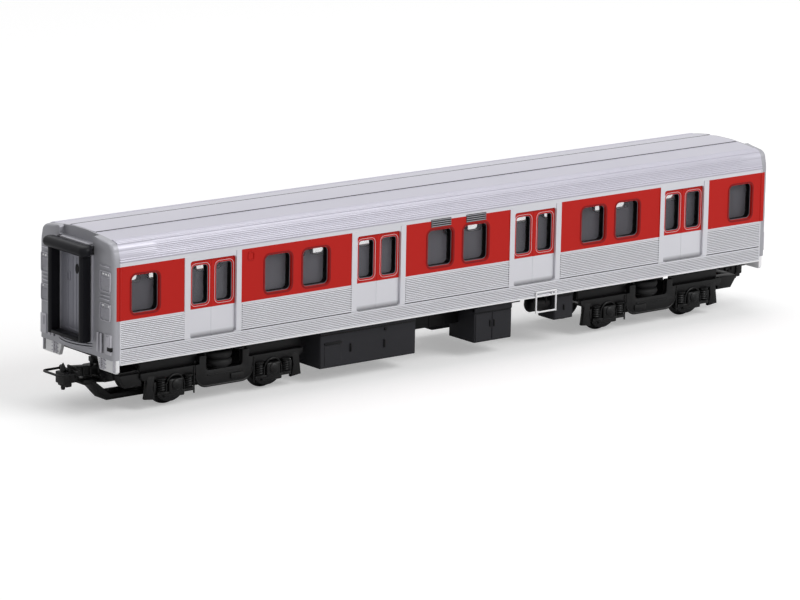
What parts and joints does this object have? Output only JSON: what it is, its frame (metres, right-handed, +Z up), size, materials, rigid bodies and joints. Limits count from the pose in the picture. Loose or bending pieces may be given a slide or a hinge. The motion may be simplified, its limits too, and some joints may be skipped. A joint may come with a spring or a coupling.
{
  "type": "model metro car",
  "caption": "Model railway metro trailer car with sliding-door pairs, end gangways, underfloor cabinets and two swivelling bogies with hook-and-loop couplers.",
  "frame": {"origin": "middle of the car, on the plane under the wheel flanges", "axes": "+X along the car to its front end, +Y to its left side, +Z up"},
  "size_m": [0.2476, 0.0358, 0.049],
  "materials": {
    "silver_body": "satin silver",
    "silver_door": "satin silver",
    "clear_glazing": "clear",
    "grey_end": "satin",
    "black_gangway": "satin",
    "black_underframe": "matt",
    "ballast_steel": "mill",
    "pin_steel": "bright",
    "black_equipment": "matt",
    "black_bogie": "matt",
    "axle_steel": "turned",
    "wheel_black": "satin black",
    "black_coupler": "matt"
  },
  "bodies": {
    "car": {"air_tank_left": "black_equipment", "air_tank_right": "black_equipment", "ballast_plate": "ballast_steel", "battery_box_left": "black_equipment", "battery_box_right": "black_equipment", "body_side_left": "silver_body", "body_side_right": "silver_body", "centre_duct": "black_equipment", "chassis": "black_underframe", "door_pair_1_left": "silver_door", "door_pair_1_right": "silver_door", "door_pair_2_left": "silver_door", "door_pair_2_right": "silver_door", "door_pair_3_left": "silver_door", "door_pair_3_right": "silver_door", "door_pair_4_left": "silver_door", "door_pair_4_right": "silver_door", "end_door_front": "grey_end", "end_door_rear": "grey_end", "end_wall_front": "grey_end", "end_wall_rear": "grey_end", "gangway_front": "black_gangway", "gangway_rear": "black_gangway", "glazing_left": "clear_glazing", "glazing_right": "clear_glazing", "kingpin_front": "pin_steel", "kingpin_rear": "pin_steel", "large_cabinet_left": "black_equipment", "large_cabinet_right": "black_equipment", "roof": "silver_body", "step_frame_left": "silver_body", "step_frame_right": "silver_body", "twin_door_cabinet_left": "black_equipment", "twin_door_cabinet_right": "black_equipment"},
    "bogie_rear": {"bogie_frame_rear": "black_bogie"},
    "bogie_front": {"bogie_frame_front": "black_bogie"},
    "wheelset_1": {"axle_1": "axle_steel", "wheels_1": "wheel_black"},
    "wheelset_2": {"axle_2": "axle_steel", "wheels_2": "wheel_black"},
    "wheelset_3": {"axle_3": "axle_steel", "wheels_3": "wheel_black"},
    "wheelset_4": {"axle_4": "axle_steel", "wheels_4": "wheel_black"},
    "coupler_rear": {"coupler_rear": "black_coupler"},
    "coupler_front": {"coupler_front": "black_coupler"},
    "loop_rear": {"coupler_loop_rear": "black_coupler"},
    "loop_front": {"coupler_loop_front": "black_coupler"}
  },
  "joints": [
    {"name": "bogie_rear_swivel", "type": "hinge", "parent": "car", "child": "bogie_rear", "pos_m": [-0.076, 0, 0.0132], "axis": [0, 0, 1], "range_deg": [-10, 10]},
    {"name": "bogie_front_swivel", "type": "hinge", "parent": "car", "child": "bogie_front", "pos_m": [0.076, 0, 0.0132], "axis": [0, 0, 1], "range_deg": [-10, 10]},
    {"name": "wheelset_1_spin", "type": "hinge", "parent": "bogie_rear", "child": "wheelset_1", "pos_m": [-0.09215, 0, 0.00625], "axis": [0, 1, 0], "continuous": true},
    {"name": "wheelset_2_spin", "type": "hinge", "parent": "bogie_rear", "child": "wheelset_2", "pos_m": [-0.05985, 0, 0.00625], "axis": [0, 1, 0], "continuous": true},
    {"name": "wheelset_3_spin", "type": "hinge", "parent": "bogie_front", "child": "wheelset_3", "pos_m": [0.05985, 0, 0.00625], "axis": [0, 1, 0], "continuous": true},
    {"name": "wheelset_4_spin", "type": "hinge", "parent": "bogie_front", "child": "wheelset_4", "pos_m": [0.09215, 0, 0.00625], "axis": [0, 1, 0], "continuous": true},
    {"name": "coupler_rear_swing", "type": "hinge", "parent": "bogie_rear", "child": "coupler_rear", "pos_m": [-0.1082, 0, 0.0092], "axis": [0, 0, 1], "range_deg": [-12, 12]},
    {"name": "loop_rear_lift", "type": "hinge", "parent": "coupler_rear", "child": "loop_rear", "pos_m": [-0.1174, 0, 0.0109], "axis": [0, 1, 0], "range_deg": [0, 35]},
    {"name": "coupler_front_swing", "type": "hinge", "parent": "bogie_front", "child": "coupler_front", "pos_m": [0.1082, 0, 0.0092], "axis": [0, 0, 1], "range_deg": [-12, 12]},
    {"name": "loop_front_lift", "type": "hinge", "parent": "coupler_front", "child": "loop_front", "pos_m": [0.1174, 0, 0.0109], "axis": [0, -1, 0], "range_deg": [0, 35]}
  ]
}
